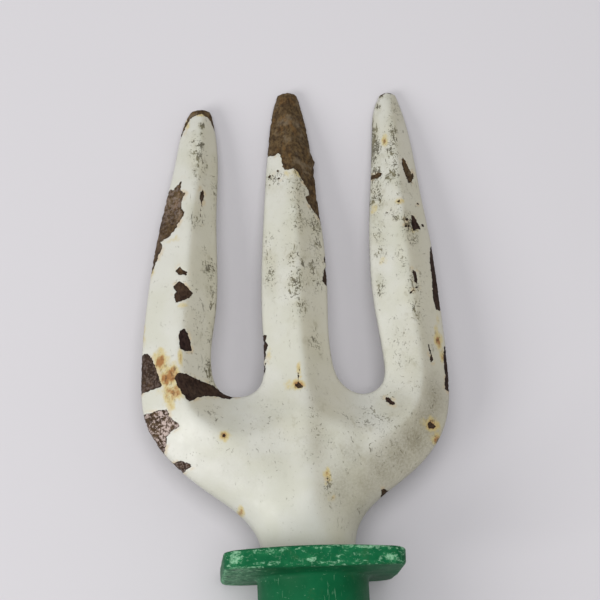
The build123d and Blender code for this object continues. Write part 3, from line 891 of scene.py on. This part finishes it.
def steel_looks(x, y):
    """Tone and speckle of the bare steel, taken from the nearest of the places above."""
    weights = np.full(x.shape, 1e-6)
    tone = 0.5 * weights
    speckle = 0.0 * weights
    for place_x, place_y, reach, its_tone, its_speckle in STEEL_TONES:
        pull = np.exp(-((x - place_x) ** 2 + (y - place_y) ** 2) / reach ** 2)
        weights += pull
        tone += pull * its_tone
        speckle += pull * its_speckle
    return tone / weights, speckle / weights


def lee_side(x, y):
    """1 on flanks that fall steeply to the right, away from the light, and 0 elsewhere: there the paint
    gets painted shade.
    """
    step = 0.5
    fall = (surface_height(x - step, y) - surface_height(x + step, y)) / (2 * step)
    return smooth_step(fall, 0.0, 0.6)


def build_head():
    points, faces = head_mesh()
    x, y, _ = points.T
    tone, speckle = steel_looks(x, y)
    head = make_object(
        "fork_head_steel", points, faces,
        bare=bare_depth(x, y),
        stain=gathered(STAINS, x, y),
        grime=0.05 + gathered(GRIMY, x, y),
        film=gathered(SOIL_FILM_AND_SHADE, x, y),
        lee=lee_side(x, y),
        tone=tone,
        mottle=speckle,
    )
    head.data.materials.append(head_material())
    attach(head, "root")
    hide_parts("fork_head")


# ---- the grip

GRIP_RADIUS = 15.3
GRIP_SIDE = ((15.3, -2.8), (15.3, -16.0), (16.6, -46.0), (13.8, -88.0), (14.6, -112.0))
TAIL_ROUND = 0.8
BORE_RADIUS = 9.0
BORE_DEPTH = 56.0
FLANGE_THICK = 6.4
FLANGE_HALF_WIDTH = 24.4
FLANGE_HALF_HEIGHT = 22.9
FLANGE_OFFSET = -0.7
FLANGE_TURN = math.radians(4.0)
FLANGE_BOW = 1.1  # the front's sides lie this much further back than its middle
FLANGE_EDGE = 1.0  # rounding of the flange's rim
FLANGE_DRAFT = 0.7  # the rear slopes away from its middle line by this much
FILLET = 1.4
FILLET_END = -FLANGE_THICK - FILLET
BODY_START = FILLET_END - 0.6
TOP_CORNER = 4.0
LOW_CORNER = 8.0
AROUND = 360
PIN_REACH = 5.0  # the rings are closer together this far to each side of the pin
RING_STEPS = (1.2, 0.5, 1.3)  # in front of the pin, beside it and behind it
NICK_DEPTH = 0.28
GRIP_DENT = 0.05
SEAM_RISE = 0.16  # the parting line's height and width
SEAM_WIDTH = 0.35
DIMPLE = 1.6  # depth of the hollow over each end of the pin

# pale patches knocked into the flange's rim, seen from above: x, y, reach along x and y
SCUFFS = (
    (-3.2, -3.4, 1.6, 1.3, 1), (17.5, -3.6, 3.4, 1.3, 0.9), (-23.4, -2.6, 1.8, 2.6, 1.1),
    (-14, -4.2, 5, 0.8, 0.75), (-15, -1.2, 5, 1, 0.8), (12.5, -0.4, 6, 1, 1),
    (21.5, -1.2, 2.6, 1.8, 0.9), (3, 0.2, 6, 0.5, 0.8), (-8, -0.4, 5, 0.6, 0.7),
)


def plate_radius(angle, inset):
    """Distance from the flange's middle to its rim, drawn in by inset, for each angle."""
    width = FLANGE_HALF_WIDTH - inset
    height = FLANGE_HALF_HEIGHT - inset
    cos, sin = np.cos(angle), np.sin(angle)
    with np.errstate(divide="ignore"):
        radius = np.minimum(np.abs(width / cos), np.abs(height / sin))
    for top, corner in ((1, TOP_CORNER), (-1, LOW_CORNER)):
        corner = max(corner - inset, 0.3)
        mid_x, mid_z = np.sign(cos) * (width - corner), top * (height - corner)
        along = mid_x * cos + mid_z * sin
        inside = along ** 2 - (mid_x ** 2 + mid_z ** 2 - corner ** 2)
        rounded = along + np.sqrt(np.maximum(inside, 0.0))
        hit_x, hit_z = rounded * cos, rounded * sin
        here = (inside > 0) & (np.abs(hit_x) > width - corner) & (top * hit_z > height - corner)
        radius = np.where(here & (np.sign(sin) == top), rounded, radius)
    return radius


def rounding(shape, size, y, across, along, wear, turns):
    """Rings round a quarter turn, from (size + across, y) over to (size, y + along)."""
    return [
        (shape, size + across * (1 - math.sin(a)), y + along * (1 - math.cos(a)), wear)
        for a in turns
    ]


def grip_rings():
    """Closed profile of the grip as rings: plan shape, size, y, and how scuffed each is."""
    arc = np.radians([15, 30, 45, 60, 75, 90])
    rings = [("round", r, 0.0, 0.1) for r in (2.0, 6.0, 10.0, 13.0)]
    rings += [("plate", inset, 0.0, 0.2) for inset in (8.0, 5.0, 3.0)]
    rings += [("plate", inset, 0.0, 0.6) for inset in (2.0, 1.4, FLANGE_EDGE)]
    rings += rounding("plate", 0.0, 0.0, FLANGE_EDGE, -FLANGE_EDGE, 1.0, arc)
    band = FLANGE_THICK - 2 * FLANGE_EDGE
    rings += [("plate", 0.0, -FLANGE_EDGE - band * part / 10, 0.55) for part in range(1, 10)]
    rings += rounding("rear", 0.0, -FLANGE_THICK, FLANGE_EDGE, FLANGE_EDGE, 0.8, arc[::-1])
    rings += [("rear", inset, -FLANGE_THICK, 0.5) for inset in (FLANGE_EDGE, 1.6)]
    rings += [("rear", inset, -FLANGE_THICK, 0.25) for inset in (2.6, 3.6, 4.6)]
    turns = np.radians([0, 25, 50, 75, 90])
    rings += rounding("round", GRIP_RADIUS, -FLANGE_THICK, FILLET, -FILLET, 0.15, turns)
    side = smooth_curve(GRIP_SIDE, 400)[::-1]
    limits = (BODY_START, PIN_Y + PIN_REACH, PIN_Y - PIN_REACH, GRIP_END + 1.0)
    stretches = zip(limits, limits[1:], RING_STEPS)
    for y in np.concatenate([np.arange(front, rear, -step) for front, rear, step in stretches]):
        rings.append(("round", float(np.interp(y, side[:, 1], side[:, 0])), float(y), 0.15))
    tail = GRIP_SIDE[-1][0]
    rings += rounding("round", tail, GRIP_END, -TAIL_ROUND, TAIL_ROUND, 0.3, math.pi / 2 - arc)
    rings += [("round", r, GRIP_END, 0.1) for r in (12.0, BORE_RADIUS)]
    rings += [("round", BORE_RADIUS, GRIP_END + depth, 0.0) for depth in (20.0, 40.0, BORE_DEPTH)]
    rings += [("round", r, GRIP_END + BORE_DEPTH, 0.0) for r in (5.0, 1.0)]
    return rings


def ring_points(shape, size, y, angle):
    """One ring round the grip's axis. Plates are turned, bowed in front and sloped behind."""
    if shape == "round":
        points = np.column_stack([size * np.cos(angle), np.full(len(angle), y), size * np.sin(angle)])
        if y == 0.0:
            points[:, 1] -= FLANGE_BOW * (points[:, 0] / FLANGE_HALF_WIDTH) ** 2
        return points
    radius = plate_radius(angle, size)
    x, z = radius * np.cos(angle), radius * np.sin(angle)
    front = np.clip(1.0 + y / FLANGE_THICK, 0.0, 1.0) if shape == "plate" else 0.0
    bow = FLANGE_BOW * (x / FLANGE_HALF_WIDTH) ** 2
    slope = FLANGE_DRAFT * np.abs(z) / FLANGE_HALF_HEIGHT
    depth = y - bow * front + slope * (1.0 - front)
    turned_x = x * math.cos(FLANGE_TURN) - z * math.sin(FLANGE_TURN) + FLANGE_OFFSET
    turned_z = x * math.sin(FLANGE_TURN) + z * math.cos(FLANGE_TURN)
    return np.column_stack([turned_x, depth, turned_z])


def wear_grip(points, wear):
    """Nicks in the rims, a parting line, small dents, and a dimple over each end of the pin."""
    x, y, z = points.T
    radius = np.maximum(np.hypot(x, z), 1e-6)
    outer = radius > 10
    nick = NICK_DEPTH * np.clip(rough_noise(x + z, y + 0.6 * z, 2.4, 41), 0.0, None) * wear
    dent = GRIP_DENT * (value_noise(x + 40, y + z, 6.0, 47) - 1.0) * (y < 0)
    behind = (y < -FLANGE_THICK - 1.0) & (y > GRIP_END + 1.0)
    seam_z = z * math.cos(FLANGE_TURN) - x * math.sin(FLANGE_TURN)
    seam = SEAM_RISE * np.exp(-(seam_z / SEAM_WIDTH) ** 2) * behind
    from_pin = np.hypot(x, y - PIN_Y)
    dimple = 1.0 - smooth_step(from_pin, PIN_RADIUS + 0.4, PIN_RADIUS + 1.6)
    dimple = DIMPLE * dimple * outer * behind
    scale = 1.0 + np.where(outer, (seam - nick + dent - dimple) / radius, 0.0)
    ground = -AXIS_Z
    return np.column_stack([x * scale, y, np.maximum(z * scale, ground)])


def scuffed(x, y, z, wear):
    """How scuffed the plastic is: its rims, the patches above, and the flange's rear left."""
    patches = gathered(SCUFFS, x, y) * (z > AXIS_Z)
    behind = (y < FLANGE_FRONT + FLANGE_EDGE - FLANGE_THICK) & (y > FILLET_END)
    patches = np.maximum(patches, 0.7 * behind * smooth_step(-x, 12.0, 20.0))
    uneven = 0.75 + 0.5 * value_noise(x, z, 7.0, 53)
    return np.maximum(wear * uneven, 1.5 * patches)


def build_grip():
    angle = np.linspace(0.0, 2 * math.pi, AROUND, endpoint=False)
    rings = grip_rings()
    points = np.vstack([ring_points(shape, size, y, angle) for shape, size, y, _ in rings])
    wear = np.repeat([ring[3] for ring in rings], AROUND)
    points = wear_grip(points, wear)
    # the rings count from the flange's front, which stands a little over the neck's start
    flange = points[:, 1] > (FILLET_END + BODY_START) / 2
    points[:, 1] += FLANGE_FRONT * flange
    points[:, 2] += AXIS_Z
    row = np.arange(AROUND)
    faces = []
    for ring in range(len(rings) - 1):
        faces += strip(row + (ring + 1) * AROUND, row + ring * AROUND).tolist()
    faces.append(row[::-1].tolist())
    faces.append((row + (len(rings) - 1) * AROUND).tolist())
    grip = make_object("handle_grip_moulding", points, faces, wear=scuffed(*points.T, wear))
    grip.data.materials.append(plastic_material("grip_plastic", "wear"))
    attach(grip, "root")
    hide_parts("handle_grip")


def dress(node, material):
    """Give a CAD node that stays in view its material."""
    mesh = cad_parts[node].data
    mesh.materials.clear()
    mesh.materials.append(material)


build_head()
build_grip()
dress("cross_pin", steel_material())
dress("end_plug", plastic_material("plug_plastic"))


# ---- camera, light and floor

def place(point):
    return Vector(to_frame([point])[0])


def make_camera():
    """Looks down on the fork from behind the grip and a little to its left."""
    distance = 600.0
    picture_width = 171.0    # at the place looked at
    look_at = np.array([-0.1, 73.4, 20.0])
    tilt = math.radians(13.5)
    lean = math.radians(8.0)
    turn = math.radians(2.2)
    view = np.array([
        -math.cos(tilt) * math.sin(lean), -math.sin(tilt), math.cos(tilt) * math.cos(lean),
    ])
    forward = np.array([0.0, 1.0, 0.0])
    up = forward - view * forward.dot(view)
    up /= np.linalg.norm(up)
    right = np.cross(up, view)
    up = math.cos(turn) * up + math.sin(turn) * right
    right = np.cross(up, view)
    data = bpy.data.cameras.new("camera")
    data.sensor_width = 36.0
    data.lens = data.sensor_width * distance / picture_width
    data.clip_start = 0.01
    camera = add_object("camera", data)
    turned = Matrix([right, up, view]).transposed().to_4x4()
    turned.translation = place(look_at + distance * view)
    camera.matrix_world = turned
    bpy.context.scene.camera = camera


LIGHT_SIZE = 800.0
LIT_PLACE = (0.0, 60.0, 10.0)


def make_light(name, position, power, colour):
    """A round lamp that shines at the middle of the head."""
    data = bpy.data.lights.new(name, "AREA")
    data.shape = "DISK"
    data.size = LIGHT_SIZE * MM
    data.energy = power
    data.color = colour
    light = add_object(name, data)
    light.location = place(position)
    light.rotation_euler = (place(LIT_PLACE) - light.location).to_track_quat("-Z", "Y").to_euler()
    return light


def make_floor():
    half = 1500.0
    corners = [(-half, -half, 0.0), (half, -half, 0.0), (half, half, 0.0), (-half, half, 0.0)]
    floor = make_object("floor", corners, [(0, 1, 2, 3)])
    look = Shading("floor")
    look.finish("Base Color", (0.62, 0.605, 0.635, 1.0))
    look.finish("Roughness", 0.7)
    floor.data.materials.append(look.material)


def make_world():
    world = bpy.data.worlds.new("world")
    world.use_nodes = True
    background = world.node_tree.nodes["Background"]
    background.inputs["Color"].default_value = (1.0, 0.995, 0.99, 1.0)
    background.inputs["Strength"].default_value = 0.375
    bpy.context.scene.world = world


make_camera()
make_light("key", position=(-1220.0, -560.0, 960.0), power=12.8, colour=(1.0, 0.99, 0.97))
overhead = make_light("overhead", position=(-150.0, 0.0, 1250.0), power=8.5, colour=(1.0, 1.0, 1.0))
overhead.visible_glossy = False
make_floor()
make_world()
bpy.context.scene.view_settings.view_transform = "Standard"
